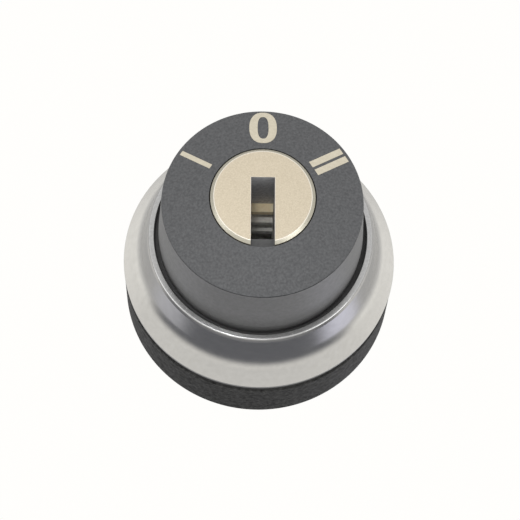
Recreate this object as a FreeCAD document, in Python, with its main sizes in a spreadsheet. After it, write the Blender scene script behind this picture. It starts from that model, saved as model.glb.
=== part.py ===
"""Key-operated selector head for a 22 mm panel hole, with three stay-put positions.

Millimetres, +Z out of the front. The origin is the centre of the panel seating face, the
underside of the gasket. The zero position is at +Y.
"""

import FreeCAD
import Part

import math
import os
import Sketcher

DIMENSIONS = {
    # front
    "gasket_top": 1.5,
    "gasket_radius": 14.6,
    "bezel_radius": 14.85,
    "bezel_edge_top": 1.75,
    "bezel_foot_radius": 13.5,
    "bezel_foot_height": 3.5,
    "bezel_cove_radius": 12.6,
    "bezel_cove_height": 5.3,
    "bezel_lip_radius": 12.13,
    "bezel_lip_height": 8.25,
    "bezel_crest_radius": 11.93,
    "bezel_crest_height": 8.72,
    "bezel_bore_radius": 11.36,
    "bezel_pocket_radius": 13.65,
    "bezel_pocket_top": 2.5,
    "cap_base_radius": 10.99,
    "cap_base_height": 7.7,
    "cap_rim_radius": 10.4,
    "cap_rim_height": 17.17,
    "cap_bore_radius": 5.5,
    "cap_bore_height": 18.54,
    "cap_collar_radius": 6.6,
    "cap_collar_bottom": 14.9,
    "cap_inner_radius": 9.45,
    "cap_roof_height": 15.9,
    # legend
    "legend_depth": 0.4,
    "legend_inner_radius": 6.2,
    "legend_outer_radius": 10.15,
    "one_turn": 57.3,
    "two_turn": 57.9,
    "zero_width": 2.85,
    "zero_side_stroke": 0.85,
    "zero_end_stroke": 0.6,
    "zero_corner": 1.3,
    "bar_length": 3.85,
    "one_width": 0.55,
    "two_bar_width": 0.72,
    "two_gap": 0.31,
    # bushing
    "bushing_radius": 11.0,
    "thread_end": -10.6,
    "bushing_bottom": -14.6,
    "rear_spigot_radius": 10.4,
    "bushing_bore_radius": 9.3,
    "web_bottom": 3.6,
    "web_top": 5.0,
    "web_hole_radius": 5.8,
    "neck_radius": 11.3,
    "spigot_radius": 9.4,
    "spigot_top": 14.8,
    "flange_radius": 13.6,
    "lug_half_width": 1.5,
    "lug_reach": 12.7,
    "lug_bottom": -1.2,
    "key_groove_half_width": 1.0,
    "key_groove_root": 10.0,
    # nut and washer
    "washer_thickness": 0.8,
    "nut_radius": 14.8,
    "nut_bottom": -6.45,
    "nut_bore_radius": 11.06,
    "nut_slot_reach": 13.2,
    "nut_slot_width": 3.0,
    "nut_slot_depth": 2.0,
    # lock
    "sleeve_radius": 7.2,
    "sleeve_bore_radius": 4.65,
    "sleeve_top": 14.6,
    "sleeve_step_height": 13.35,
    "sleeve_step_radius": 5.45,
    "sleeve_groove_reach": 5.4,
    "sleeve_groove_half_width": 2.0,
    "barrel_head_radius": 5.39,
    "barrel_head_bottom": 13.4,
    "barrel_top": 18.8,
    "barrel_chamfer": 0.3,
    "barrel_radius": 4.6,
    "barrel_bottom": 2.65,
    "seal_height": 15.9,
    "seal_wire_radius": 0.4,
    "seal_centre_radius": 5.08,
    "seal_groove_radius": 4.66,
    "clip_bottom": 4.1,
    "clip_thickness": 0.6,
    "clip_radius": 5.6,
    "clip_groove_radius": 4.0,
    "tail_half_width": 2.3,
    "tail_bottom": -0.9,
    "keyway_half_width": 1.225,
    "keyway_top": 2.13,
    "keyway_bottom": -4.1,
    "keyway_end": 5.0,
    "keyway_mouth_bottom": -5.6,
    "keyway_mouth_height": 17.2,
    "wafer_pitch": 1.5,
    "wafer_first": 11.65,
    "wafer_thickness": 0.7,
    "wafer_half_width": 1.9,
    "wafer_radius": 4.55,
    # switching parts
    "position_angle": 60.0,
    "drum_top": 2.6,
    "drum_step": 0.6,
    "drum_bottom": -1.0,
    "drum_radius": 7.7,
    "detent_radius": 6.8,
    "detent_root": 6.15,
    "stop_lug_reach": 8.4,
    "stop_half_width": 1.2,
    "stop_rib_angle": 78.0,
    "ramp_height": -3.0,
    "ramp_inner_radius": 4.9,
    "ramp_outer_radius": 7.6,
    "ramp_body": 3.8,
    "ramp_half_angle": 68.0,
    "plunger_travel": 1.5,
    "plunger_offset": 6.3,
    "plunger_radius": 1.4,
    "plunger_tip": -3.08,
    "plunger_end": -11.6,
    "plunger_collar_top": -4.3,
    "plunger_collar_bottom": -5.0,
    "plunger_collar_radius": 2.4,
    "spring_radius": 1.85,
    "spring_wire_radius": 0.2,
    "spring_coils": 4.0,
    "guide_top": -9.0,
    "guide_bottom": -10.5,
    "guide_radius": 9.25,
    "screw_shank_radius": 1.25,
    "screw_head_radius": 2.8,
    "screw_head_bottom": -2.6,
    "leaf_thickness": 0.3,
    "leaf_face": 7.45,
    "leaf_half_length": 5.15,
    "leaf_nose": 6.35,
    "leaf_nose_half_width": 1.2,
    # clearance round turning and sliding parts
    "play": 0.05,
}

WAFER_COUNT = 5
NUT_SLOTS = 6
# how far down the keyway each wafer's tongue reaches, the cuts of one key
WAFER_BITTING = [1.18, 0.6, 0.25, 0.9, 0.5]

doc = FreeCAD.newDocument("selector_key_switch")
sheet = doc.addObject("Spreadsheet::Sheet", "dims")
for row, (alias, value) in enumerate(DIMENSIONS.items(), start=1):
    sheet.set(f"A{row}", alias)
    sheet.set(f"B{row}", str(value))
    sheet.setAlias(f"B{row}", alias)
doc.recompute()

subparts = []


def value_of(expression):
    """Number that an expression of sheet names comes to."""
    return float(sheet.evalExpression(str(expression)))


def in_sheet(expression):
    """Expression in which each sheet name points at the sheet."""
    words = str(expression).replace("(", " ( ").replace(")", " ) ").split()
    return " ".join("dims." + word if word in DIMENSIONS else word for word in words)


def new_body(label, is_node=True):
    """Empty body, listed for export when it is a piece of its own."""
    body = doc.addObject("PartDesign::Body", label)
    body.Label = label
    if is_node:
        subparts.append(body)
    return body


def new_sketch(body, name, role, height=0.0, turn=0.0):
    """Sketch on one of the body's origin planes, raised or turned about +Z."""
    sketch = body.newObject("Sketcher::SketchObject", f"{body.Name}_{name}")
    plane = next(item for item in body.Origin.OriginFeatures if item.Role == role)
    sketch.AttachmentSupport = [(plane, "")]
    sketch.MapMode = "FlatFace"
    if role == "XY_Plane":
        offset = FreeCAD.Vector(0, 0, 0)
        sketch.AttachmentOffset = FreeCAD.Placement(offset, FreeCAD.Rotation(FreeCAD.Vector(0, 0, 1), turn))
        sketch.setExpression("AttachmentOffset.Base.z", in_sheet(height))
    else:
        turned = FreeCAD.Rotation(FreeCAD.Vector(0, 1, 0), turn)
        sketch.AttachmentOffset = FreeCAD.Placement(FreeCAD.Vector(), turned)
    return sketch


def arc_between(start, end, radius):
    """Arc of a signed radius from start to end; a positive one bulges to the right."""
    chord = end - start
    side = FreeCAD.Vector(chord.y, -chord.x, 0).normalize()
    half = chord.Length / 2
    rise = abs(radius) - math.sqrt(radius**2 - half**2)
    middle = (start + end) / 2 + side * math.copysign(rise, radius)
    return Part.Arc(start, middle, end)


def bind(sketch, kind, geometry, point, expression):
    """Distance of one point from the sketch's origin, bound to the sheet."""
    number = value_of(expression)
    if abs(number) < 1e-9:
        axis = -2 if kind == "DistanceX" else -1
        sketch.addConstraint(Sketcher.Constraint("PointOnObject", geometry, point, axis))
        return
    index = sketch.addConstraint(Sketcher.Constraint(kind, -1, 1, geometry, point, number))
    sketch.setExpression(f"Constraints[{index}]", in_sheet(expression))


def outline(sketch, points):
    """Closed outline whose corners are pairs of sheet expressions.

    A third value is the signed radius of the arc from that corner to the next one.
    """
    first = sketch.GeometryCount
    places = [FreeCAD.Vector(value_of(point[0]), value_of(point[1]), 0) for point in points]
    count = len(points)
    for index, point in enumerate(points):
        start, end = places[index], places[(index + 1) % count]
        if len(point) == 3:
            arc = arc_between(start, end, value_of(point[2]))
            sketch.addGeometry(arc, False)
        else:
            sketch.addGeometry(Part.LineSegment(start, end), False)
    ends = []
    for index, point in enumerate(points):
        at_start = sketch.getPoint(first + index, 1)
        starts_here = (at_start - places[index]).Length < 1e-6
        ends.append((1, 2) if starts_here else (2, 1))
    for index in range(count):
        after = (index + 1) % count
        joined = Sketcher.Constraint(
            "Coincident", first + index, ends[index][1], first + after, ends[after][0]
        )
        sketch.addConstraint(joined)
    for index, point in enumerate(points):
        bind(sketch, "DistanceX", first + index, ends[index][0], point[0])
        bind(sketch, "DistanceY", first + index, ends[index][0], point[1])
        if len(point) == 3:
            radius = Sketcher.Constraint("Radius", first + index, abs(value_of(point[2])))
            number = sketch.addConstraint(radius)
            sketch.setExpression(f"Constraints[{number}]", f"abs( {in_sheet(point[2])} )")


def circle(sketch, x, y, radius):
    """Circle with its centre and radius bound to the sheet."""
    centre = FreeCAD.Vector(value_of(x), value_of(y), 0)
    shape = Part.Circle(centre, FreeCAD.Vector(0, 0, 1), value_of(radius))
    index = sketch.addGeometry(shape, False)
    bind(sketch, "DistanceX", index, 3, x)
    bind(sketch, "DistanceY", index, 3, y)
    number = sketch.addConstraint(Sketcher.Constraint("Radius", index, value_of(radius)))
    sketch.setExpression(f"Constraints[{number}]", in_sheet(radius))


def rectangle(sketch, left, right, low, high):
    """Rectangle between two pairs of sheet expressions."""
    outline(sketch, [(left, low), (right, low), (right, high), (left, high)])


def checked(body, feature, grows):
    """Recompute and make sure that a feature added or removed material."""
    before = body.Shape.Volume if not body.Shape.isNull() else 0.0
    doc.recompute()
    after = body.Shape.Volume
    changed = after > before + 1e-6 if grows else after < before - 1e-6
    if not changed:
        raise RuntimeError(f"{body.Label}: {feature.Name} changed nothing")
    return feature


def revolve(body, name, points, cut=False):
    """Turned section about +Z, added or cut away."""
    sketch = new_sketch(body, f"{name}_section", "XZ_Plane")
    outline(sketch, points)
    doc.recompute()
    kind = "PartDesign::Groove" if cut else "PartDesign::Revolution"
    feature = body.newObject(kind, f"{body.Name}_{name}")
    feature.Profile = sketch
    feature.ReferenceAxis = (sketch, ["V_Axis"])
    feature.Angle = 360
    return checked(body, feature, not cut)


def extrude(body, name, sketch, length, cut=False, upwards=True):
    """Pad or pocket of a flat sketch, upwards or downwards."""
    doc.recompute()
    kind = "PartDesign::Pocket" if cut else "PartDesign::Pad"
    feature = body.newObject(kind, f"{body.Name}_{name}")
    feature.Profile = sketch
    feature.Type = "Length"
    feature.setExpression("Length", in_sheet(length))
    feature.Reversed = upwards if cut else not upwards
    return checked(body, feature, not cut)


def block(body, name, low_high, bounds, cut=False, turn=0.0):
    """Rectangular pad or pocket between two heights, turned about +Z."""
    low, high = low_high
    sketch = new_sketch(body, f"{name}_sketch", "XY_Plane", low, turn)
    rectangle(sketch, *bounds)
    return extrude(body, name, sketch, f"{high} - ( {low} )", cut)


def helical(body, name, bounds, start_angle, left_handed):
    """Rectangle swept along a helix about +Z, for a face cam."""
    sketch = new_sketch(body, f"{name}_section", "XZ_Plane", turn=start_angle)
    rectangle(sketch, *bounds)
    doc.recompute()
    feature = body.newObject("PartDesign::AdditiveHelix", f"{body.Name}_{name}")
    feature.Profile = sketch
    feature.ReferenceAxis = (sketch, ["V_Axis"])
    feature.Mode = 0
    feature.LeftHanded = left_handed
    feature.setExpression("Pitch", "dims.plunger_travel * 360 / dims.position_angle")
    feature.setExpression(
        "Height", "dims.plunger_travel * 2 * dims.ramp_half_angle / dims.position_angle"
    )
    return checked(body, feature, True)


def ring_of(body, name, feature, count):
    """Full ring of copies of one feature about +Z."""
    pattern = body.newObject("PartDesign::PolarPattern", f"{body.Name}_{name}")
    pattern.Originals = [feature]
    pattern.Axis = (feature.Profile[0], ["N_Axis"])
    pattern.Angle = 360
    pattern.Occurrences = count
    body.Tip = pattern
    doc.recompute()
    return pattern


def make_bezel():
    """Satin metal ring: straight sloping skirt, steep cove and a flat-topped lip."""
    body = new_body("bezel_ring")
    revolve(body, "ring", [
        ("bezel_pocket_radius", "gasket_top"),
        ("bezel_radius", "gasket_top"),
        ("bezel_radius", "bezel_edge_top"),
        ("bezel_foot_radius", "bezel_foot_height", "-4"),
        ("bezel_cove_radius", "bezel_cove_height"),
        ("bezel_lip_radius", "bezel_lip_height", "0.5"),
        ("bezel_crest_radius", "bezel_crest_height"),
        ("bezel_bore_radius", "bezel_crest_height"),
        ("bezel_bore_radius", "bezel_pocket_top"),
        ("bezel_pocket_radius", "bezel_pocket_top"),
    ])


def make_cap_blank():
    """Fixed dark cap before its legend recesses: tapered skirt, low conical face, bore."""
    body = new_body("cap_blank", is_node=False)
    revolve(body, "shell", [
        ("cap_inner_radius", "cap_base_height"),
        ("cap_base_radius", "cap_base_height"),
        ("cap_rim_radius", "cap_rim_height"),
        ("cap_bore_radius", "cap_bore_height"),
        ("cap_bore_radius", "cap_collar_bottom"),
        ("cap_collar_radius", "cap_collar_bottom"),
        ("cap_collar_radius", "cap_roof_height"),
        ("cap_inner_radius", "cap_roof_height"),
    ])
    return body


def trim_to_face(body):
    """Cut a legend prism down to a thin layer that lies flush in the cap's conical face."""
    high, low = "cap_bore_height + 2", "cap_roof_height - 1"
    slope = "( cap_bore_height - cap_rim_height ) / ( cap_rim_radius - cap_bore_radius )"
    inside, outside = "cap_bore_radius - 2", "cap_rim_radius + 2"
    top_inside, top_outside = f"cap_bore_height + 2 * {slope}", f"cap_rim_height - 2 * {slope}"
    revolve(body, "face", [
        (inside, high), (inside, top_inside), (outside, top_outside), (outside, high),
    ], cut=True)
    revolve(body, "underside", [
        (inside, low),
        (inside, f"{top_inside} - legend_depth"),
        (outside, f"{top_outside} - legend_depth"),
        (outside, low),
    ], cut=True)


def legend_prism(body, name, sketch):
    """Prism of a legend sketch that runs right through the cap's face."""
    return extrude(body, name, sketch, "cap_bore_height - cap_roof_height + 1")


def make_zero():
    """Inlaid zero at +Y: an upright rounded ring."""
    body = new_body("legend_zero")
    sketch = new_sketch(body, "glyph", "XY_Plane", "cap_roof_height")
    strokes = [("0", "0", "zero_corner"), ("zero_side_stroke", "zero_end_stroke", "zero_corner / 2.4")]
    for side_stroke, end_stroke, corner in strokes:
        right, left = f"( zero_width / 2 - {side_stroke} )", f"( {side_stroke} - zero_width / 2 )"
        top = f"( legend_outer_radius - {end_stroke} )"
        bottom = f"( legend_inner_radius + {end_stroke} )"
        outline(sketch, [
            (f"{left} + {corner}", bottom),
            (f"{right} - {corner}", bottom, corner),
            (right, f"{bottom} + {corner}"),
            (right, f"{top} - {corner}", corner),
            (f"{right} - {corner}", top),
            (f"{left} + {corner}", top, corner),
            (left, f"{top} - {corner}"),
            (left, f"{bottom} + {corner}", corner),
        ])
    legend_prism(body, "prism", sketch)
    trim_to_face(body)
    return body


def make_bars(label, count, width, turn):
    """Inlaid mark of one or more radial bars, turned from +Y."""
    body = new_body(label)
    sketch = new_sketch(body, "glyph", "XY_Plane", "cap_roof_height", turn)
    for index in range(count):
        middle = f"{index - (count - 1) / 2} * ( {width} + two_gap )"
        rectangle(
            sketch,
            f"{middle} - {width} / 2",
            f"{middle} + {width} / 2",
            "legend_inner_radius",
            "legend_inner_radius + bar_length",
        )
    legend_prism(body, "prism", sketch)
    trim_to_face(body)
    return body


def make_cap(marks):
    """Cap with a recess for each inlaid mark."""
    blank = make_cap_blank()
    for index, mark in enumerate(marks, start=1):
        cap = doc.addObject("Part::Cut", f"cap_recess_{index}")
        cap.Base = blank
        cap.Tool = mark
        blank = cap
    cap.Label = "legend_cap"
    subparts.append(cap)
    doc.recompute()


def make_gasket():
    """Flat rubber ring between the bezel and the panel, notched for the housing's lug."""
    body = new_body("panel_gasket")
    revolve(body, "ring", [
        ("bushing_radius + play", "0"),
        ("gasket_radius", "0"),
        ("gasket_radius", "gasket_top"),
        ("bushing_radius + play", "gasket_top"),
    ])
    half = "lug_half_width + play"
    block(body, "notch", ("-1", "gasket_top + 1"), (f"0 - ( {half} )", half, "0", "lug_reach + play"), True)


def make_housing():
    """Plastic housing: bushing with a thread and a plain rear spigot, flange and cap spigot."""
    body = new_body("housing")
    revolve(body, "section", [
        ("bushing_bore_radius", "bushing_bottom"),
        ("rear_spigot_radius", "bushing_bottom"),
        ("rear_spigot_radius", "thread_end"),
        ("bushing_radius", "thread_end"),
        ("bushing_radius", "gasket_top"),
        ("flange_radius", "gasket_top"),
        ("flange_radius", "bezel_pocket_top"),
        ("neck_radius", "bezel_pocket_top"),
        ("neck_radius", "cap_base_height"),
        ("spigot_radius", "cap_base_height"),
        ("spigot_radius", "spigot_top"),
        ("sleeve_radius + play", "spigot_top"),
        ("sleeve_radius + play", "web_top"),
        ("web_hole_radius", "web_top"),
        ("web_hole_radius", "web_bottom"),
        ("bushing_bore_radius", "web_bottom"),
    ])
    # lug that stops the head turning in a notched panel hole
    block(body, "lug", ("lug_bottom", "gasket_top + 0.5"),
          ("0 - lug_half_width", "lug_half_width", "bushing_radius - 1", "lug_reach"))
    # groove that keys the locating washer
    block(body, "key_groove", ("bushing_bottom - 1", "0"),
          ("0 - key_groove_half_width", "key_groove_half_width",
           "0 - bushing_radius - 1", "0 - key_groove_root"), True)
    # ribs behind the ends of the detent spring
    wall = "bushing_bore_radius + 0.4"
    for name, side in (("left", -1), ("right", 1)):
        near, far = "leaf_half_length - 1.1", "leaf_half_length - 0.3"
        bounds = (near, far) if side > 0 else (f"0 - ( {far} )", f"0 - ( {near} )")
        block(body, f"leaf_rib_{name}", ("drum_step", "web_bottom + 0.2"),
              (*bounds, "leaf_face + leaf_thickness + 0.02", wall))
        # rib that stops the drum at the end of its turn
        block(body, f"stop_rib_{name}", ("drum_step", "web_bottom + 0.2"),
              ("0 - stop_half_width", "stop_half_width", f"0 - ( {wall} )", "0 - drum_radius - 0.25"),
              turn=side * value_of("stop_rib_angle"))


def make_washer():
    """Locating washer: slides on the bushing, keyed by a tongue and notched for the lug."""
    body = new_body("locating_washer")
    revolve(body, "ring", [
        ("nut_bore_radius", "0 - washer_thickness"),
        ("nut_radius", "0 - washer_thickness"),
        ("nut_radius", "0"),
        ("nut_bore_radius", "0"),
    ])
    half = "key_groove_half_width - play"
    block(body, "tongue", ("0 - washer_thickness", "0"),
          (f"0 - ( {half} )", half, "0 - nut_bore_radius - 0.5", "0 - key_groove_root - 0.1"))
    half = "lug_half_width + play"
    block(body, "notch", ("-2", "1"), (f"0 - ( {half} )", half, "9", "lug_reach + play"), True)


def make_nut():
    """Ring nut with tool slots in its rear face."""
    body = new_body("lock_nut")
    top = "0 - washer_thickness - 0.02"
    revolve(body, "ring", [
        ("nut_bore_radius", "nut_bottom"),
        ("nut_radius - 0.2", "nut_bottom"),
        ("nut_radius", "nut_bottom + 0.2"),
        ("nut_radius", top),
        ("nut_bore_radius", top),
    ])
    # the lug on the housing reaches past the washer, into a turned recess in the nut
    revolve(body, "recess", [
        ("nut_bore_radius - 0.5", "lug_bottom - 0.1"),
        ("lug_reach + 0.1", "lug_bottom - 0.1"),
        ("lug_reach + 0.1", "1"),
        ("nut_bore_radius - 0.5", "1"),
    ], cut=True)
    slot = block(body, "slot", ("nut_bottom - 1", "nut_bottom + nut_slot_depth"),
                 ("0 - nut_slot_width / 2", "nut_slot_width / 2", "9", "nut_slot_reach"), True)
    ring_of(body, "slots", slot, NUT_SLOTS)


def make_sleeve():
    """Fixed lock sleeve with a groove for the wafers at each position."""
    body = new_body("lock_sleeve")
    revolve(body, "section", [
        ("sleeve_bore_radius", "web_top"),
        ("sleeve_radius", "web_top"),
        ("sleeve_radius", "sleeve_top"),
        ("sleeve_step_radius", "sleeve_top"),
        ("sleeve_step_radius", "sleeve_step_height"),
        ("sleeve_bore_radius", "sleeve_step_height"),
    ])
    for position in (-1, 0, 1):
        block(body, f"groove_{position + 2}", ("web_top - 1", "sleeve_step_height"),
              ("0 - sleeve_groove_half_width", "sleeve_groove_half_width",
               "0 - sleeve_groove_reach", "0"), True, position * value_of("position_angle"))


def wafer_height(index):
    """Middle of one wafer along the barrel."""
    return f"wafer_first - {index} * wafer_pitch"


def make_barrel():
    """Key barrel: head, body with wafer slots and keyway, and a square tail."""
    body = new_body("key_barrel")
    groove_half = "( seal_wire_radius + play )"
    revolve(body, "section", [
        ("0", "barrel_bottom"),
        ("barrel_radius", "barrel_bottom"),
        ("barrel_radius", "clip_bottom - play"),
        ("clip_groove_radius", "clip_bottom - play"),
        ("clip_groove_radius", "clip_bottom + clip_thickness + play"),
        ("barrel_radius", "clip_bottom + clip_thickness + play"),
        ("barrel_radius", "barrel_head_bottom"),
        ("barrel_head_radius", "barrel_head_bottom"),
        ("barrel_head_radius", f"seal_height - {groove_half}"),
        ("seal_groove_radius", f"seal_height - {groove_half}"),
        ("seal_groove_radius", f"seal_height + {groove_half}"),
        ("barrel_head_radius", f"seal_height + {groove_half}"),
        ("barrel_head_radius", "barrel_top - barrel_chamfer"),
        ("barrel_head_radius - barrel_chamfer", "barrel_top"),
        ("0", "barrel_top"),
    ])
    half = "tail_half_width"
    block(body, "tail", ("tail_bottom", "barrel_bottom + 0.5"), (f"0 - {half}", half, f"0 - {half}", half))
    hole = new_sketch(body, "screw_hole_sketch", "XY_Plane", "tail_bottom - 1")
    circle(hole, "0", "0", "screw_shank_radius + play")
    extrude(body, "screw_hole", hole, "barrel_bottom - tail_bottom + 1.5", cut=True)
    half = "keyway_half_width"
    block(body, "keyway", ("keyway_end", "barrel_top + 1"),
          (f"0 - {half}", half, "keyway_bottom", "keyway_top"), True)
    block(body, "keyway_mouth", ("keyway_mouth_height", "barrel_top + 1"),
          (f"0 - {half}", half, "keyway_mouth_bottom", "keyway_bottom + 0.1"), True)
    half = "( wafer_half_width + play )"
    reach = "barrel_radius + 1"
    for index in range(WAFER_COUNT):
        middle = wafer_height(index)
        low = f"{middle} - wafer_thickness / 2 - play"
        high = f"{middle} + wafer_thickness / 2 + play"
        block(body, f"wafer_slot_{index + 1}", (low, high),
              (f"0 - {half}", half, f"0 - ( {reach} )", reach), True)


def make_wafers():
    """Brass wafers, each with a window that a key passes and its own depth of tongue."""
    for index, tongue in enumerate(WAFER_BITTING):
        body = new_body(f"lock_wafer_{index + 1}")
        low = f"{wafer_height(index)} - wafer_thickness / 2"
        sketch = new_sketch(body, "plate_sketch", "XY_Plane", low)
        circle(sketch, "0", "0", "wafer_radius")
        extrude(body, "plate", sketch, "wafer_thickness")
        edges = (f"{low} - 1", f"{low} + wafer_thickness + 1")
        for name, side in (("left", -1), ("right", 1)):
            near, far = "wafer_half_width", "wafer_radius + 1"
            bounds = (near, far) if side > 0 else (f"0 - ( {far} )", f"0 - {near}")
            block(body, f"side_{name}", edges, (*bounds, "-6", "6"), True)
        half = "keyway_half_width"
        block(body, "window", edges, (f"0 - {half}", half, "keyway_bottom + 0.3", str(tongue)), True)


def make_seal():
    """O-ring between the barrel and the cap."""
    body = new_body("barrel_seal")
    sketch = new_sketch(body, "section", "XZ_Plane")
    circle(sketch, "seal_centre_radius", "seal_height", "seal_wire_radius")
    doc.recompute()
    ring = body.newObject("PartDesign::Revolution", "barrel_seal_ring")
    ring.Profile = sketch
    ring.ReferenceAxis = (sketch, ["V_Axis"])
    ring.Angle = 360
    checked(body, ring, True)


def make_clip():
    """Retaining clip behind the sleeve, open at one side."""
    body = new_body("retaining_clip")
    top = "clip_bottom + clip_thickness"
    inner = "clip_groove_radius + play"
    revolve(body, "ring", [
        (inner, "clip_bottom"), ("clip_radius", "clip_bottom"), ("clip_radius", top), (inner, top),
    ])
    block(body, "opening", ("clip_bottom - 1", f"{top} + 1"), ("-2", "2", "0", "clip_radius + 1"), True)


def make_drum():
    """Cam drum on the barrel's tail: detent rim, stop lug and two opposite face cams."""
    body = new_body("cam_drum")
    revolve(body, "section", [
        ("0", "drum_bottom"),
        ("drum_radius", "drum_bottom"),
        ("drum_radius", "drum_step - play"),
        ("detent_radius", "drum_step - play"),
        ("detent_radius", "drum_top"),
        ("0", "drum_top"),
    ])
    block(body, "stop_lug", ("drum_step - 0.5", "drum_top"),
          ("0 - stop_half_width", "stop_half_width", "0 - stop_lug_reach", "0 - detent_radius + 1"))
    start = value_of("ramp_half_angle")
    low = "ramp_height - plunger_travel * ramp_half_angle / position_angle"
    bounds = ("ramp_inner_radius", "ramp_outer_radius", low, f"{low} + ramp_body")
    helical(body, "ramp_left", bounds, 180 - start, left_handed=False)
    helical(body, "ramp_right", bounds, start, left_handed=True)
    half = "tail_half_width + play"
    block(body, "square_hole", ("drum_bottom - 1", "drum_top + 1"),
          (f"0 - ( {half} )", half, f"0 - ( {half} )", half), True)
    for position in (-1, 0, 1):
        turn = position * value_of("position_angle")
        notch = new_sketch(body, f"notch_sketch_{position + 2}", "XY_Plane", "drum_step - play", turn)
        outline(notch, [
            ("-1.3", "detent_radius + 0.4"),
            ("-0.3", "detent_root"),
            ("0.3", "detent_root"),
            ("1.3", "detent_radius + 0.4"),
        ])
        extrude(body, f"notch_{position + 2}", notch, "drum_top - drum_step + 1", cut=True)


def make_screw():
    """Screw that holds the drum on the barrel's tail, with a cross recess."""
    body = new_body("drum_screw")
    top = "drum_bottom - 0.02"
    revolve(body, "section", [
        ("0", "screw_head_bottom"),
        ("screw_head_radius - 0.3", "screw_head_bottom"),
        ("screw_head_radius", "screw_head_bottom + 0.3"),
        ("screw_head_radius", top),
        ("screw_shank_radius", top),
        ("screw_shank_radius", "barrel_bottom"),
        ("0", "barrel_bottom"),
    ])
    for name, turn in (("first", 0), ("second", 90)):
        block(body, f"recess_{name}", ("screw_head_bottom - 1", "screw_head_bottom + 0.8"),
              ("-1.5", "1.5", "-0.3", "0.3"), True, turn)


def make_detent_spring():
    """Leaf spring across the bore, with a nose that sits in the drum's notches."""
    body = new_body("detent_spring")
    face, back = "leaf_face", "leaf_face + leaf_thickness"
    end, foot, tip = "leaf_half_length", "leaf_nose_half_width", "0.25"
    sketch = new_sketch(body, "strip_sketch", "XY_Plane", "drum_step + 0.2")
    outline(sketch, [
        (f"0 - {end}", face),
        (f"0 - {foot}", face),
        (f"0 - {tip}", "leaf_nose"),
        (tip, "leaf_nose"),
        (foot, face),
        (end, face),
        (end, back),
        (f"{foot} - 0.15", back),
        (f"{tip} - 0.1", "leaf_nose + leaf_thickness + 0.1"),
        (f"0 - {tip} + 0.1", "leaf_nose + leaf_thickness + 0.1"),
        (f"0 - {foot} + 0.15", back),
        (f"0 - {end}", back),
    ])
    extrude(body, "strip", sketch, "drum_top - drum_step - 0.4")


def make_plunger(label, side):
    """Plunger that carries the cam's travel to a contact block behind the head."""
    body = new_body(label)
    revolve(body, "section", [
        ("0", "plunger_end"),
        ("plunger_radius - 0.3", "plunger_end"),
        ("plunger_radius", "plunger_end + 0.3"),
        ("plunger_radius", "plunger_collar_bottom"),
        ("plunger_collar_radius", "plunger_collar_bottom"),
        ("plunger_collar_radius", "plunger_collar_top"),
        ("plunger_radius", "plunger_collar_top"),
        ("plunger_radius", "plunger_tip - plunger_radius", "plunger_radius"),
        ("0", "plunger_tip"),
    ])
    body.setExpression("Placement.Base.x", f"{side} * dims.plunger_offset")


def make_plunger_spring(label, side):
    """Return spring round a plunger, between its collar and the rear guide."""
    wire_radius = value_of("spring_wire_radius")
    low = value_of("guide_top") + wire_radius + 0.02
    height = value_of("plunger_collar_bottom") - wire_radius - 0.02 - low
    radius = value_of("spring_radius")
    path = Part.makeHelix(height / value_of("spring_coils"), height, radius)
    start = path.Edges[0].valueAt(path.Edges[0].FirstParameter)
    section = Part.Wire(Part.makeCircle(wire_radius, start, FreeCAD.Vector(0, 1, 0)))
    coil = Part.Wire(path.Edges).makePipeShell([section], True, True)
    spring = doc.addObject("Part::Feature", label)
    spring.Label = label
    spring.Shape = coil
    spring.Placement.Base = FreeCAD.Vector(side * value_of("plunger_offset"), 0, low)
    subparts.append(spring)


def make_guide():
    """Rear guide plate that the plungers slide in."""
    body = new_body("rear_guide")
    plate = new_sketch(body, "plate_sketch", "XY_Plane", "guide_bottom")
    circle(plate, "0", "0", "guide_radius")
    for side in (-1, 1):
        circle(plate, f"{side} * plunger_offset", "0", "plunger_radius + play")
    extrude(body, "plate", plate, "guide_top - guide_bottom")


make_bezel()
make_cap([
    make_zero(),
    make_bars("legend_one", 1, "one_width", value_of("one_turn")),
    make_bars("legend_two", 2, "two_bar_width", -value_of("two_turn")),
])
make_gasket()
make_housing()
make_washer()
make_nut()
make_sleeve()
make_barrel()
make_wafers()
make_seal()
make_clip()
make_drum()
make_screw()
make_detent_spring()
make_guide()
for side_name, side_sign in (("left", -1), ("right", 1)):
    make_plunger(f"plunger_{side_name}", side_sign)
    make_plunger_spring(f"plunger_spring_{side_name}", side_sign)
doc.recompute()

for item in doc.Objects:
    if "Invalid" in item.State or "Error" in item.State:
        raise RuntimeError(f"{item.Label} failed: {item.State}")
for piece in subparts:
    if piece.Shape.isNull() or not piece.Shape.isValid():
        raise RuntimeError(f"{piece.Label} has no valid shape")

os.makedirs("parts", exist_ok=True)
for piece in subparts:
    piece.Shape.exportStep(f"parts/{piece.Label}.step")
    print(f"{piece.Label}: {len(piece.Shape.Solids)} solid(s), {piece.Shape.Volume:.1f} mm3")
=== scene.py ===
"""Looks of a key-operated selector head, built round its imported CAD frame.

Blender units are metres. Profiles and sizes below are in millimetres, as on the drawing:
+Z out of the front, origin at the centre of the panel seating face, zero mark at +Y.
"""

import math

import bmesh
import bpy
from mathutils import Matrix, Vector


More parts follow.
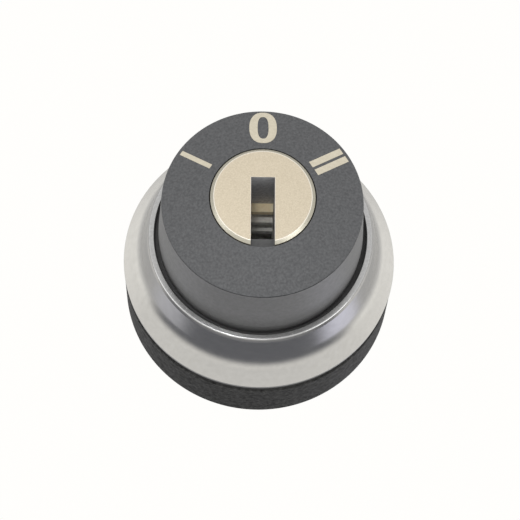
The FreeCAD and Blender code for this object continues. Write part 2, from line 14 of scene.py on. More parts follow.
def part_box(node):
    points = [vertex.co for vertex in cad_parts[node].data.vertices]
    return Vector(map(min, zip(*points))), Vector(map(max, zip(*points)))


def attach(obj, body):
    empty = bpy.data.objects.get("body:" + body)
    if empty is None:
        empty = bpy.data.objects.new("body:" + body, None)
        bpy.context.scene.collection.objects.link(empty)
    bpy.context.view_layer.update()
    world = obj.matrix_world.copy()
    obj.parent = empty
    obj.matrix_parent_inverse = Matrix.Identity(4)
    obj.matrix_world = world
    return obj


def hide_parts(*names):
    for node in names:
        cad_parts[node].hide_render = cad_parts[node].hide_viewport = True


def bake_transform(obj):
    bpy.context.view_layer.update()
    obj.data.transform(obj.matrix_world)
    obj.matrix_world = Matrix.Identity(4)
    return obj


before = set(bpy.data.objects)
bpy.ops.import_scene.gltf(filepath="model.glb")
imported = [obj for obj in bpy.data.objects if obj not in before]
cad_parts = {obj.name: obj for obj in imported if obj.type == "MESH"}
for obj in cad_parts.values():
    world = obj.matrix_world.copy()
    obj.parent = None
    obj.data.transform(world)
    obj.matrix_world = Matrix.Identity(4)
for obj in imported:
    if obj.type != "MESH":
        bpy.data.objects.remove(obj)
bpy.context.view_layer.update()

MM = 0.001
ROUND_STEPS = 256
EDGE_ANGLE = math.radians(28)

# how the head is looked at
CAMERA_ELEVATION = 67.95
CAMERA_AZIMUTH = -3.16
CAMERA_ROLL = 3.71
CAMERA_DISTANCE = 212.9
CAMERA_AIM = (-0.03, -2.67, 8.0)
CAMERA_LENS = 138.5


def corner(node, high):
    """One corner of a CAD node's box, in millimetres."""
    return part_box(node)[1 if high else 0] / MM


# driving sizes, read from the frame
GASKET_TOP = corner("panel_gasket", True).z
GASKET_RADIUS = corner("panel_gasket", True).x
BEZEL_RADIUS = corner("bezel_ring", True).x
BEZEL_TOP = corner("bezel_ring", True).z
CAP_BASE_RADIUS = corner("legend_cap", True).x
CAP_BASE = corner("legend_cap", False).z
CAP_TOP = corner("legend_cap", True).z
BARREL_RADIUS = corner("key_barrel", True).x
BARREL_TOP = corner("key_barrel", True).z
NUT_RADIUS = corner("lock_nut", True).x
NUT_BOTTOM = corner("lock_nut", False).z
NUT_TOP = corner("lock_nut", True).z
WASHER_BOTTOM = corner("locating_washer", False).z
BUSHING_BOTTOM = corner("housing", False).z
GUIDE_BOTTOM = corner("rear_guide", False).z
GUIDE_TOP = corner("rear_guide", True).z

# sizes inside those boxes
PLAY = 0.05
BEZEL_BORE = 11.30
BEZEL_POCKET = 13.65
CAP_RIM_RADIUS = 10.4
CAP_BORE = 5.5
CAP_SOCKET = 9.45
FACE_SLOPE = 0.28
CAP_RIM = CAP_TOP - FACE_SLOPE * (CAP_RIM_RADIUS - CAP_BORE)
FLANGE_RADIUS = 13.6
NECK_RADIUS = 11.3
CAP_SPIGOT_RADIUS = 9.4
CAP_SPIGOT_TOP = 14.8
SLEEVE_SEAT_RADIUS = 7.25
WEB_TOP = 5.0
WEB_BOTTOM = 3.6
WEB_HOLE_RADIUS = 5.8
BUSHING_RADIUS = 11.0
BUSHING_BORE = 9.3
REAR_SPIGOT_RADIUS = 10.4
THREAD_END = -10.6
THREAD_PITCH = 1.5
THREAD_ROOT = 0.75
NUT_BORE = 11.06
NUT_RECESS = 12.8
NUT_RECESS_FLOOR = -1.3
TOOL_SLOTS = 6
LUG_HALF = 1.5
LUG_REACH = 12.7
LUG_BOTTOM = -1.2
KEY_GROOVE_HALF = 1.0
KEY_GROOVE_ROOT = 10.0
KEYWAY_HALF = 1.225
KEYWAY_TOP = 2.13
KEYWAY_BOTTOM = -4.1
KEYWAY_END = 5.0
KEYWAY_MOUTH = 17.2
KEYWAY_MOUTH_BOTTOM = -5.7
WAFERS = 5
HANDS = (("left", -1), ("right", 1))
PLUNGER_OFFSET = 6.3
PLUNGER_RADIUS = 1.4
COLLAR_RADIUS = 2.4
COLLAR_TOP = -4.3
COLLAR_BOTTOM = -5.0
SPRING_RADIUS = 1.85
SPRING_WIRE = 0.2
SPRING_COILS = 4

# the marks stand a little proud of the cap's face and reach into it
MARK_PROUD = 0.02
MARK_DEPTH = -0.3
MARK_END = 10.05

# bars of a mark: their middles, width, turn from the zero mark and the radius where they begin
ONE_BARS = ([0.0], 0.53, 57.3, 6.38)
TWO_BARS = ([-0.515, 0.515], 0.72, -57.1, 6.2)


# ---------------------------------------------------------------- meshes

pieces = []


def face_height(radius):
    """Height of the cap's conical face at a radius."""
    return CAP_RIM + FACE_SLOPE * (CAP_RIM_RADIUS - radius)


def rounded(points, steps=8):
    """Outline whose corners (x, z, radius) are rounded by tangent arcs."""
    line = []
    count = len(points)
    for index, (x, z, radius) in enumerate(points):
        here = Vector((x, z))
        before = (Vector(points[index - 1][:2]) - here).normalized()
        after = (Vector(points[(index + 1) % count][:2]) - here).normalized()
        half = before.angle(after, 0.0) / 2
        if radius <= 0 or half < 0.02 or half > math.pi / 2 - 0.02:
            line.append(here)
            continue
        centre = here + (before + after).normalized() * (radius / math.sin(half))
        start = here + before * (radius / math.tan(half)) - centre
        end = here + after * (radius / math.tan(half)) - centre
        turn = start.angle_signed(end)
        chords = max(2, int(steps * abs(turn) / (math.pi / 2)) + 1)
        for step in range(chords + 1):
            angle = -turn * step / chords
            line.append(centre + Vector((
                start.x * math.cos(angle) - start.y * math.sin(angle),
                start.x * math.sin(angle) + start.y * math.cos(angle),
            )))
    return [(point.x, point.y) for point in line]


def new_piece(name, vertices, faces, material, body, slot, *nodes):
    """Mesh object from millimetre vertices, riding on a body, if there is one, for CAD nodes."""
    mesh = bpy.data.meshes.new(name)
    mesh.from_pydata([Vector(vertex) * MM for vertex in vertices], [], faces)
    mesh.validate()
    piece = bpy.data.objects.new(name, mesh)
    bpy.context.scene.collection.objects.link(piece)
    tidy_normals(piece)
    piece.data.materials.append(material)
    if body:
        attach(piece, body)
        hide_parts(*nodes)
        pieces.append(piece)
    return piece


def tidy_normals(piece):
    """Outward faces, smooth except at real edges."""
    work = bmesh.new()
    work.from_mesh(piece.data)
    bmesh.ops.remove_doubles(work, verts=work.verts, dist=1e-7)
    bmesh.ops.recalc_face_normals(work, faces=work.faces)
    work.to_mesh(piece.data)
    work.free()
    piece.data.shade_smooth()
    piece.data.set_sharp_from_angle(angle=EDGE_ANGLE)


def turned(profile, steps=ROUND_STEPS):
    """Vertices and faces of a closed profile turned about +Z."""
    vertices, faces = [], []
    count = len(profile)
    for step in range(steps):
        angle = 2 * math.pi * step / steps
        for radius, height in profile:
            vertices.append((radius * math.cos(angle), radius * math.sin(angle), height))
    for step in range(steps):
        after = (step + 1) % steps
        for index in range(count):
            beside = (index + 1) % count
            if profile[index][0] == 0 and profile[beside][0] == 0:
                continue
            faces.append((
                step * count + index, after * count + index,
                after * count + beside, step * count + beside,
            ))
    return vertices, faces


def shifted(vertices, x):
    """Vertices moved sideways."""
    return [(vertex[0] + x, vertex[1], vertex[2]) for vertex in vertices]


def turned_piece(name, profile, material, body, slot, *nodes, steps=ROUND_STEPS):
    """Turned part as a piece."""
    vertices, faces = turned(profile, steps)
    return new_piece(name, vertices, faces, material, body, slot, *nodes)


def add_block(vertices, faces, low, high, turn=0.0):
    """Add a block between two corners, turned about +Z, to a mesh in the making."""
    start = len(vertices)
    spin = Matrix.Rotation(math.radians(turn), 3, "Z")
    for x in (low[0], high[0]):
        for y in (low[1], high[1]):
            vertices += [tuple(spin @ Vector((x, y, z))) for z in (low[2], high[2])]
    sides = [(0, 1, 3, 2), (4, 6, 7, 5), (0, 4, 5, 1), (2, 3, 7, 6), (0, 2, 6, 4), (1, 5, 7, 3)]
    faces += [tuple(start + point for point in side) for side in sides]


def coil(radius, wire, turns, low, high, steps=32, around=12):
    """Vertices and faces of a round wire wound about +Z."""
    vertices = []
    rings = turns * steps
    for ring in range(rings + 1):
        turn = 2 * math.pi * ring / steps
        height = low + (high - low) * ring / rings
        for point in range(around):
            angle = 2 * math.pi * point / around
            reach = radius + wire * math.cos(angle)
            vertices.append((
                reach * math.cos(turn), reach * math.sin(turn), height + wire * math.sin(angle),
            ))
    faces = [list(range(around)), list(range(rings * around, (rings + 1) * around))]
    for ring in range(rings):
        for point in range(around):
            beside = (point + 1) % around
            faces.append((ring * around + point, ring * around + beside,
                          (ring + 1) * around + beside, (ring + 1) * around + point))
    return vertices, faces


def box_cutter(low, high, material, turn=0.0):
    """Hidden block that cuts a slot."""
    vertices, faces = [], []
    add_block(vertices, faces, low, high, turn)
    return new_piece("cutter", vertices, faces, material, None, None)


def cut(piece, cutters):
    """Cut blocks out of a piece for good, keeping the cutters' material on the cut faces."""
    for cutter in cutters:
        for material in cutter.data.materials:
            if material.name not in [m.name for m in piece.data.materials]:
                piece.data.materials.append(material)
        step = piece.modifiers.new("cut", "BOOLEAN")
        step.operation = "DIFFERENCE"
        step.solver = "EXACT"
        step.material_mode = "TRANSFER"
        step.object = cutter
    apply_modifiers(piece)
    for cutter in cutters:
        bpy.data.objects.remove(cutter)


def apply_modifiers(piece):
    """Replace a piece's mesh by what its modifiers make of it."""
    graph = bpy.context.evaluated_depsgraph_get()
    graph.update()
    made = bpy.data.meshes.new_from_object(piece.evaluated_get(graph))
    piece.modifiers.clear()
    piece.data = made
    tidy_normals(piece)


def level_normals():
    """Let the large faces of every piece set the normals, so that flats shade flat."""
    for piece in pieces:
        level = piece.modifiers.new("level", "WEIGHTED_NORMAL")
        level.weight = 50
        level.keep_sharp = True


# ---------------------------------------------------------------- materials

def node(tree, kind, **values):
    """Shader node with its values or links set by input name."""
    made = tree.nodes.new(kind)
    for name, value in values.items():
        socket = made.inputs[name.replace("_", " ")]
        if isinstance(value, bpy.types.NodeSocket):
            tree.links.new(value, socket)
        else:
            socket.default_value = value
    return made


# noise values below and above which a surface shows its dark or its light end
NOISE_LOW = 0.3
NOISE_HIGH = 0.7


def noise(tree, place, size, detail=3.0, roughness=0.55):
    """Noise whose features measure about size millimetres."""
    made = node(tree, "ShaderNodeTexNoise", Vector=place, Scale=1 / (size * MM), Detail=detail,
                Roughness=roughness)
    return made.outputs["Fac"]


def spread(tree, value, low, high):
    """Noise value stretched to a range."""
    made = node(tree, "ShaderNodeMapRange", Value=value)
    made.inputs["From Min"].default_value = NOISE_LOW
    made.inputs["From Max"].default_value = NOISE_HIGH
    made.inputs["To Min"].default_value = low
    made.inputs["To Max"].default_value = high
    return made.outputs["Result"]


def shade(tree, value, dark, light):
    """Colour between two by a noise value."""
    ramp = tree.nodes.new("ShaderNodeValToRGB")
    ramp.color_ramp.elements[0].position = NOISE_LOW
    ramp.color_ramp.elements[1].position = NOISE_HIGH
    ramp.color_ramp.elements[0].color = (*dark, 1)
    ramp.color_ramp.elements[1].color = (*light, 1)
    tree.links.new(value, ramp.inputs["Fac"])
    return ramp.outputs["Color"]


def painted_height_shading(tree, place, colour, low, high, factor):
    """Painted light or shade: colour times a factor from a low height down, itself from a high one up."""
    height = node(tree, "ShaderNodeSeparateXYZ", Vector=place).outputs["Z"]
    fade = node(tree, "ShaderNodeMapRange", Value=height)
    fade.interpolation_type = "SMOOTHSTEP"
    fade.inputs["From Min"].default_value = low * MM
    fade.inputs["From Max"].default_value = high * MM
    fade.inputs["To Min"].default_value = factor
    scaled = tree.nodes.new("ShaderNodeVectorMath")
    scaled.operation = "SCALE"
    tree.links.new(colour, scaled.inputs[0])
    tree.links.new(fade.outputs["Result"], scaled.inputs["Scale"])
    return scaled.outputs["Vector"]


def surface(name, dark, light, mottle, rough, grain, depth, metal=0.0, detail=3.0, painted_shading=None, **extra):
    """Procedural material: mottled colour, uneven gloss and a fine grain in relief.

    mottle and grain are feature sizes in millimetres, rough the range of roughness and
    depth the height of the relief in millimetres. painted_shading is painted light or shade
    by height: a low height, a high one and the factor that the colour is multiplied by at
    the low one.
    """
    material = bpy.data.materials.new(name)
    material.use_nodes = True
    tree = material.node_tree
    tree.nodes.clear()
    place = tree.nodes.new("ShaderNodeTexCoord").outputs["Object"]
    shader = tree.nodes.new("ShaderNodeBsdfPrincipled")
    shader.inputs["Metallic"].default_value = metal
    for socket, value in extra.items():
        shader.inputs[socket.replace("_", " ")].default_value = value
    colour = shade(tree, noise(tree, place, mottle, detail), dark, light)
    # painted light or shade by height, where asked
    if painted_shading:
        colour = painted_height_shading(tree, place, colour, *painted_shading)
    tree.links.new(colour, shader.inputs["Base Color"])
    tree.links.new(spread(tree, noise(tree, place, mottle * 1.7), *rough), shader.inputs["Roughness"])
    bump = node(tree, "ShaderNodeBump", Height=noise(tree, place, grain, detail), Distance=depth * MM)
    tree.links.new(bump.outputs["Normal"], shader.inputs["Normal"])
    output = tree.nodes.new("ShaderNodeOutputMaterial")
    tree.links.new(shader.outputs["BSDF"], output.inputs["Surface"])
    return material


satin_metal = surface(
    "satin_metal", (0.60, 0.595, 0.58), (0.64, 0.635, 0.62), 0.6, (0.22, 0.26), 0.09, 0.0006, metal=1.0)
# the satin metal made darker for the lip: painted shade
lip_shaded_metal = surface(
    "lip_shaded_metal", (0.36, 0.36, 0.36), (0.44, 0.44, 0.44), 0.3, (0.20, 0.24), 0.09, 0.001, metal=1.0)
cap_plastic = surface(
    "cap_plastic", (0.041, 0.0425, 0.046), (0.079, 0.081, 0.085), 0.24, (0.52, 0.62), 0.19, 0.03)
# cap side: the face's plastic painted much lighter as painted light, with painted shade towards its foot;
# its smoother finish is the roughness
cap_side_lit_shaded_plastic = surface(
    "cap_side_lit_shaded_plastic", (0.134, 0.135, 0.138), (0.168, 0.169, 0.172), 0.4, (0.38, 0.46), 0.12, 0.006,
    painted_shading=(8.5, 12.8, 0.5))
legend_inlay = surface(
    "legend_inlay", (0.43, 0.39, 0.305), (0.50, 0.46, 0.365), 0.3, (0.5, 0.6), 0.1, 0.004)
collar_plastic = surface(
    "collar_plastic", (0.010, 0.010, 0.010), (0.062, 0.062, 0.061), 0.45, (0.5, 0.75), 0.3, 0.07,
    Specular_IOR_Level=0.3)
gasket_rubber = surface(
    "gasket_rubber", (0.018, 0.018, 0.018), (0.028, 0.028, 0.028), 0.4, (0.7, 0.8), 0.15, 0.01)
housing_plastic = surface(
    "housing_plastic", (0.028, 0.028, 0.029), (0.040, 0.040, 0.041), 0.7, (0.42, 0.55), 0.15, 0.006)
barrel_metal = surface(
    "barrel_metal", (0.47, 0.41, 0.31), (0.57, 0.505, 0.395), 0.14, (0.36, 0.46), 0.12, 0.009, metal=0.75)
# bright copy of the barrel metal where chamfer meets face and round the keyway's mouth: painted highlight
barrel_edge_highlight = surface(
    "barrel_edge_highlight", (0.64, 0.60, 0.53), (0.74, 0.70, 0.62), 0.1, (0.28, 0.36), 0.1, 0.004, metal=0.5)
# darker, greyer copy of the barrel metal on the chamfer: painted shade
barrel_chamfer = surface(
    "barrel_chamfer", (0.38, 0.36, 0.30), (0.48, 0.46, 0.38), 0.12, (0.30, 0.38), 0.12, 0.006, metal=0.75)
# keyway walls and wafer slots: painted light, lighter towards the bottom where the slot lies in shade
keyway_wall_lit_deep = surface(
    "keyway_wall_lit_deep", (0.20, 0.20, 0.21), (0.34, 0.34, 0.35), 0.35, (0.4, 0.5), 0.2, 0.008,
    painted_shading=(9.0, 16.5, 2.6))
# near-black on the keyway mouth's floor and walls: painted shade
keyway_floor_shade = surface(
    "keyway_floor_shade", (0.066, 0.067, 0.068), (0.096, 0.097, 0.098), 0.4, (0.5, 0.6), 0.2, 0.006)
# first wafer: brass tone made brighter than the other wafers, a painted highlight for the glint it catches
front_wafer_glint = surface(
    "front_wafer_glint", (0.90, 0.74, 0.46), (0.98, 0.86, 0.60), 0.5, (0.28, 0.38), 0.12, 0.004, metal=0.1)
wafer_brass = surface(
    "wafer_brass", (0.62, 0.61, 0.58), (0.80, 0.79, 0.74), 0.4, (0.28, 0.38), 0.12, 0.004, metal=0.1)
zinc_casting = surface(
    "zinc_casting", (0.42, 0.42, 0.43), (0.52, 0.52, 0.52), 0.6, (0.4, 0.5), 0.2, 0.006, metal=1.0)
spring_steel = surface(
    "spring_steel", (0.45, 0.45, 0.46), (0.58, 0.58, 0.58), 0.5, (0.22, 0.32), 0.1, 0.002, metal=1.0)
screw_steel = surface(
    "screw_steel", (0.52, 0.52, 0.50), (0.62, 0.61, 0.58), 0.5, (0.3, 0.4), 0.1, 0.003, metal=1.0)
cam_plastic = surface(
    "cam_plastic", (0.60, 0.57, 0.49), (0.68, 0.65, 0.57), 0.9, (0.4, 0.5), 0.2, 0.004)
plunger_plastic = surface(
    "plunger_plastic", (0.58, 0.58, 0.55), (0.66, 0.66, 0.63), 0.9, (0.35, 0.45), 0.2, 0.004)


# ---------------------------------------------------------------- pieces

def radius_of(face):
    """Distance of a face's centre from the switch axis, in millimetres."""
    return math.hypot(face.center.x, face.center.y) / MM


def height_of(face):
    """Height of a face's centre, in millimetres."""
    return face.center.z / MM


def make_bezel():
    """Satin ring: sharp lower edge, straight sloping skirt, steep cove and a flat-topped lip in painted
    shade.
    """
    inside = GASKET_RADIUS + 0.02
    edge = GASKET_TOP - 0.2
    pocket_roof = GASKET_TOP + 1.0
    lip_side = 12.0
    profile = rounded([
        (BEZEL_POCKET, GASKET_TOP, 0.05),
        (inside, GASKET_TOP, 0),
        (inside, edge, 0),
        (BEZEL_RADIUS - 0.05, edge, 0.04),
        (BEZEL_RADIUS - 0.02, GASKET_TOP + 0.2, 0.1),
        (12.95, GASKET_TOP + 2.72, 5.0),
        (12.13, BEZEL_TOP - 0.47, 0.3),
        (11.95, BEZEL_TOP, 0.2),
        (BEZEL_BORE, BEZEL_TOP, 0.12),
        (BEZEL_BORE, pocket_roof, 0),
        (BEZEL_POCKET, pocket_roof, 0),
    ], steps=24)
    piece = turned_piece("bezel", profile, satin_metal, "housing", "satin_metal", "bezel_ring", steps=384)
    piece.data.materials.append(lip_shaded_metal)
    # the lip and bore take the darker copy of the metal: painted shade
    for face in piece.data.polygons:
        if radius_of(face) < lip_side and height_of(face) > CAP_BASE:
            face.material_index = 1


def make_cap():
    """Dark cap: conical grained face, a hairline seam under the rim, tapered smoother side in painted light
    and shade.
    """
    lean = (CAP_BASE_RADIUS - CAP_RIM_RADIUS) / (CAP_RIM - CAP_BASE)
    undercut = 2.0
    seam_low, seam_high = CAP_RIM - 0.28, CAP_RIM - 0.05
    seam_radius = CAP_RIM_RADIUS - 0.2
    seal_radius, seal_floor, roof = 6.6, 14.9, 15.9
    profile = rounded([
        (CAP_SOCKET, CAP_BASE, 0),
        (CAP_BASE_RADIUS - 0.22, CAP_BASE, 0.05),
        (CAP_BASE_RADIUS - undercut * lean, CAP_BASE + undercut, 0.3),
        (CAP_RIM_RADIUS + 0.28 * lean, seam_low, 0.03),
        (seam_radius, seam_low, 0),
        (seam_radius, seam_high, 0),
        (CAP_RIM_RADIUS, seam_high, 0.02),
        (CAP_RIM_RADIUS, CAP_RIM, 0.04),
        (CAP_BORE, CAP_TOP, 0.04),
        (CAP_BORE, seal_floor, 0),
        (seal_radius, seal_floor, 0),
        (seal_radius, roof, 0.3),
        (CAP_SOCKET, roof, 0.3),
    ])
    piece = turned_piece("cap", profile, cap_plastic, "housing", "cap_plastic", "legend_cap")
    piece.data.materials.append(cap_side_lit_shaded_plastic)
    # the side faces take the copy with painted light and painted shade
    for face in piece.data.polygons:
        if radius_of(face) > CAP_RIM_RADIUS - 0.05 and height_of(face) < seam_low + 0.01:
            face.material_index = 1


def on_face(across, along, proud, turn):
    """Point of a mark: across and along its radial axis, proud of the cap's face."""
    angle = math.radians(turn)
    x = across * math.cos(angle) - along * math.sin(angle)
    y = across * math.sin(angle) + along * math.cos(angle)
    return (x, y, face_height(math.hypot(x, y)) + proud)


def mark_strip(vertices, faces, loops, turn, closed):
    """Solid strip whose top follows the cap's face, between rows of (across, along) points."""
    start = len(vertices)
    rows, length = len(loops), len(loops[0])
    for proud in (MARK_PROUD, MARK_DEPTH):
        for loop in loops:
            vertices += [on_face(across, along, proud, turn) for across, along in loop]
    layer = rows * length
    around = length if closed else length - 1
    for row in range(rows - 1):
        for index in range(around):
            beside = (index + 1) % length
            quad = [row * length + index, row * length + beside,
                    (row + 1) * length + beside, (row + 1) * length + index]
            faces.append([start + point for point in quad])
            faces.append([start + layer + point for point in reversed(quad)])
    for row in (0, rows - 1):
        for index in range(around):
            a, b = row * length + index, row * length + (index + 1) % length
            faces.append([start + a, start + b, start + layer + b, start + layer + a])
    if not closed:
        for index in (0, length - 1):
            for row in range(rows - 1):
                a, b = row * length + index, (row + 1) * length + index
                faces.append([start + a, start + b, start + layer + b, start + layer + a])


def oval(half_width, half_height, middle, power, steps=96):
    """Superellipse loop."""
    loop = []
    for step in range(steps):
        angle = 2 * math.pi * step / steps
        c, s = math.cos(angle), math.sin(angle)
        loop.append((
            half_width * math.copysign(abs(c) ** (2 / power), c),
            middle + half_height * math.copysign(abs(s) ** (2 / power), s),
        ))
    return loop


def make_zero():
    """Zero with broad sides and thin ends, its counter a narrow upright oval."""
    middle, half = 8.19, 2.02
    outer = oval(1.43, half, middle, 2.35)
    inner = oval(0.57, half - 0.58, middle, 2.5)
    rows = [
        [(o[0] + (i[0] - o[0]) * share, o[1] + (i[1] - o[1]) * share) for o, i in zip(outer, inner)]
        for share in (0, 0.33, 0.67, 1)
    ]
    vertices, faces = [], []
    mark_strip(vertices, faces, rows, 0.0, closed=True)
    new_piece("mark_zero", vertices, faces, legend_inlay, "housing", "legend_inlay", "legend_zero")


def make_bars(name, cad_node, middles, width, turn, start, steps=24):
    """Mark of one or more radial bars that begin at a radius."""
    vertices, faces = [], []
    radii = [start + (MARK_END - start) * step / steps for step in range(steps + 1)]
    for middle in middles:
        rows = [
            [(middle + width * (share - 0.5), radius) for radius in radii]
            for share in (0, 0.5, 1)
        ]
        mark_strip(vertices, faces, rows, turn, closed=False)
    new_piece(name, vertices, faces, legend_inlay, "housing", "legend_inlay", cad_node)


def make_barrel():
    """Champagne metal barrel: keyway, wafer slots, chamfer in painted shade, painted highlight on its edges.
    """
    tail, body, head = 2.65, 4.6, 13.4
    clip_root, clip_low, clip_high = 4.0, 4.05, 4.75
    seal_root, seal_low, seal_high = 4.66, 15.45, 16.35
    chamfer = BARREL_RADIUS - 0.36
    profile = rounded([
        (0, tail, 0),
        (body, tail, 0.1),
        (body, clip_low, 0),
        (clip_root, clip_low, 0),
        (clip_root, clip_high, 0),
        (body, clip_high, 0),
        (body, head, 0),
        (BARREL_RADIUS, head, 0.1),
        (BARREL_RADIUS, seal_low, 0),
        (seal_root, seal_low, 0),
        (seal_root, seal_high, 0),
        (BARREL_RADIUS, seal_high, 0),
        (BARREL_RADIUS, BARREL_TOP - 0.28, 0.03),
        (chamfer, BARREL_TOP, 0.14),
        (0, BARREL_TOP, 0),
    ])
    piece = turned_piece("barrel", profile, barrel_metal, "barrel", "barrel_metal", "key_barrel")
    for material in (barrel_edge_highlight, barrel_chamfer):
        piece.data.materials.append(material)
    # painted highlight on the ring where the chamfer meets the face, painted shade on the chamfer
    for face in piece.data.polygons:
        radius, height = radius_of(face), height_of(face)
        if chamfer - 0.08 < radius < chamfer + 0.03 and height > BARREL_TOP - 0.2:
            face.material_index = 1
        elif radius >= chamfer + 0.03 and height > BARREL_TOP - 0.3:
            face.material_index = 2
    over = BARREL_TOP + 1
    ledge = KEYWAY_HALF + 0.05
    # the shallow step round the keyway's mouth takes the painted highlight on its cut faces
    cutters = [
        box_cutter((-ledge, KEYWAY_MOUTH_BOTTOM, BARREL_TOP - 0.03), (ledge, KEYWAY_TOP + 0.03, over),
                   barrel_edge_highlight),
        box_cutter((-KEYWAY_HALF, KEYWAY_BOTTOM, KEYWAY_END), (KEYWAY_HALF, KEYWAY_TOP, over), keyway_wall_lit_deep),
        box_cutter((-KEYWAY_HALF, KEYWAY_MOUTH_BOTTOM, KEYWAY_MOUTH),
                   (KEYWAY_HALF, KEYWAY_BOTTOM + 0.1, over), keyway_floor_shade),
    ]
    slot_half, slot_reach = 1.95, 5.0
    for index in range(1, WAFERS + 1):
        low, high = corner(f"lock_wafer_{index}", False).z, corner(f"lock_wafer_{index}", True).z
        cutters.append(box_cutter(
            (-slot_half, -slot_reach, low - PLAY), (slot_half, slot_reach, high + PLAY), keyway_wall_lit_deep))
    cut(piece, cutters)


def make_nut():
    """Ring nut with a recess for the lug in front and tool slots in its rear face."""
    slot_half, slot_root, slot_reach, slot_depth = 1.5, 9.0, 13.2, 2.0
    profile = rounded([
        (NUT_BORE, NUT_BOTTOM, 0.1),
        (NUT_RADIUS, NUT_BOTTOM, 0.25),
        (NUT_RADIUS, NUT_TOP, 0.05),
        (NUT_RECESS, NUT_TOP, 0),
        (NUT_RECESS, NUT_RECESS_FLOOR, 0),
        (NUT_BORE, NUT_RECESS_FLOOR, 0),
    ])
    piece = turned_piece("ring_nut", profile, collar_plastic, "nut", "nut_plastic", "lock_nut")
    cut(piece, [
        box_cutter((-slot_half, slot_root, NUT_BOTTOM - 1), (slot_half, slot_reach, NUT_BOTTOM + slot_depth),
                   collar_plastic, 360 * index / TOOL_SLOTS)
        for index in range(TOOL_SLOTS)
    ])


def lug_cutter(low, high, material):
    """Block that cuts room for the housing's lug between two heights."""
    return box_cutter((-LUG_HALF - PLAY, 9, low), (LUG_HALF + PLAY, LUG_REACH + PLAY, high), material)


def make_washer():
    """Locating washer with a tongue for the bushing's groove and a notch for the lug."""
    profile = rounded([
        (NUT_BORE, WASHER_BOTTOM, 0),
        (NUT_RADIUS, WASHER_BOTTOM, 0.05),
        (NUT_RADIUS, 0, 0.05),
        (NUT_BORE, 0, 0),
    ])
    vertices, faces = turned(profile)
    add_block(vertices, faces, (-KEY_GROOVE_HALF + PLAY, -NUT_BORE - 0.5, WASHER_BOTTOM),
              (KEY_GROOVE_HALF - PLAY, -KEY_GROOVE_ROOT - 0.1, 0))
    piece = new_piece("washer", vertices, faces, collar_plastic, "washer", "nut_plastic", "locating_washer")
    cut(piece, [lug_cutter(-2, 1, collar_plastic)])


def make_gasket():
    """Rubber gasket with softly rounded edges, notched for the lug."""
    bore = BUSHING_RADIUS + PLAY
    profile = rounded([
        (bore, 0, 0),
        (GASKET_RADIUS, 0, 0.25),
        (GASKET_RADIUS, GASKET_TOP, 0.25),
        (bore, GASKET_TOP, 0),
    ])
    piece = turned_piece("gasket", profile, gasket_rubber, "housing", "gasket_rubber", "panel_gasket")
    cut(piece, [lug_cutter(-1, 2.5, gasket_rubber)])


def thread_depth(height, turn, low, high):
    """Depth of the thread at a height and a share of a full turn, run out at both ends."""
    runout = 0.6
    phase = ((height / THREAD_PITCH - turn) % 1.0) * 2 - 1
    fade = min(1.0, (height - low) / runout, (high - height) / runout)
    return THREAD_ROOT * min(1.0, max(0.0, (1 - abs(phase)) * 1.25)) * fade


def make_housing():
    """Housing: real helical thread, plain rear spigot, flange, lug, and ribs inside the bore."""
    low, high = THREAD_END, GASKET_TOP - 0.2
    rows = int((high - low) / THREAD_PITCH * 16)
    heights = [low + (high - low) * row / rows for row in range(rows + 1)]
    steps = 192
    chamfer = 0.3
    flange_top = 2.5
    front = [
        (BUSHING_RADIUS, GASKET_TOP), (FLANGE_RADIUS, GASKET_TOP),
        (FLANGE_RADIUS, flange_top), (NECK_RADIUS, flange_top),
        (NECK_RADIUS, CAP_BASE), (CAP_SPIGOT_RADIUS, CAP_BASE),
        (CAP_SPIGOT_RADIUS, CAP_SPIGOT_TOP), (SLEEVE_SEAT_RADIUS, CAP_SPIGOT_TOP),
        (SLEEVE_SEAT_RADIUS, WEB_TOP), (WEB_HOLE_RADIUS, WEB_TOP),
        (WEB_HOLE_RADIUS, WEB_BOTTOM), (BUSHING_BORE, WEB_BOTTOM),
    ]
    rear = [
        (BUSHING_BORE, BUSHING_BOTTOM + chamfer), (BUSHING_BORE + chamfer, BUSHING_BOTTOM),
        (REAR_SPIGOT_RADIUS - chamfer, BUSHING_BOTTOM), (REAR_SPIGOT_RADIUS, BUSHING_BOTTOM + chamfer),
        (REAR_SPIGOT_RADIUS, THREAD_END - chamfer),
    ]
    vertices, faces = [], []
    for step in range(steps):
        turn = step / steps
        thread = [(BUSHING_RADIUS - thread_depth(height, turn, low, high), height) for height in heights]
        section = thread + front + rear
        angle = 2 * math.pi * turn
        vertices += [(r * math.cos(angle), r * math.sin(angle), z) for r, z in section]
    count = len(section)
    for step in range(steps):
        after = (step + 1) % steps
        for index in range(count):
            beside = (index + 1) % count
            faces.append((step * count + index, after * count + index,
                          after * count + beside, step * count + beside))
    add_block(vertices, faces, (-LUG_HALF, BUSHING_RADIUS - 1, LUG_BOTTOM),
              (LUG_HALF, LUG_REACH, GASKET_TOP + 0.5))
    add_ribs(vertices, faces)
    piece = new_piece("bushing", vertices, faces, housing_plastic, "housing", "black_plastic", "housing")
    cut(piece, [box_cutter((-KEY_GROOVE_HALF, -13, BUSHING_BOTTOM - 1),
                           (KEY_GROOVE_HALF, -KEY_GROOVE_ROOT, 0), housing_plastic)])


def add_ribs(vertices, faces):
    """Add the ribs that hold the leaf spring's ends and those that stop the drum's lug."""
    low, high = 0.6, WEB_BOTTOM + 0.1
    wall = BUSHING_BORE + 0.4
    for side in (-1, 1):
        near, far = sorted((side * 4.05, side * 4.85))
        add_block(vertices, faces, (near, 7.77, low), (far, wall - 0.6, high))
        add_block(vertices, faces, (-1.2, -wall, low), (1.2, -7.95, high), side * 78)


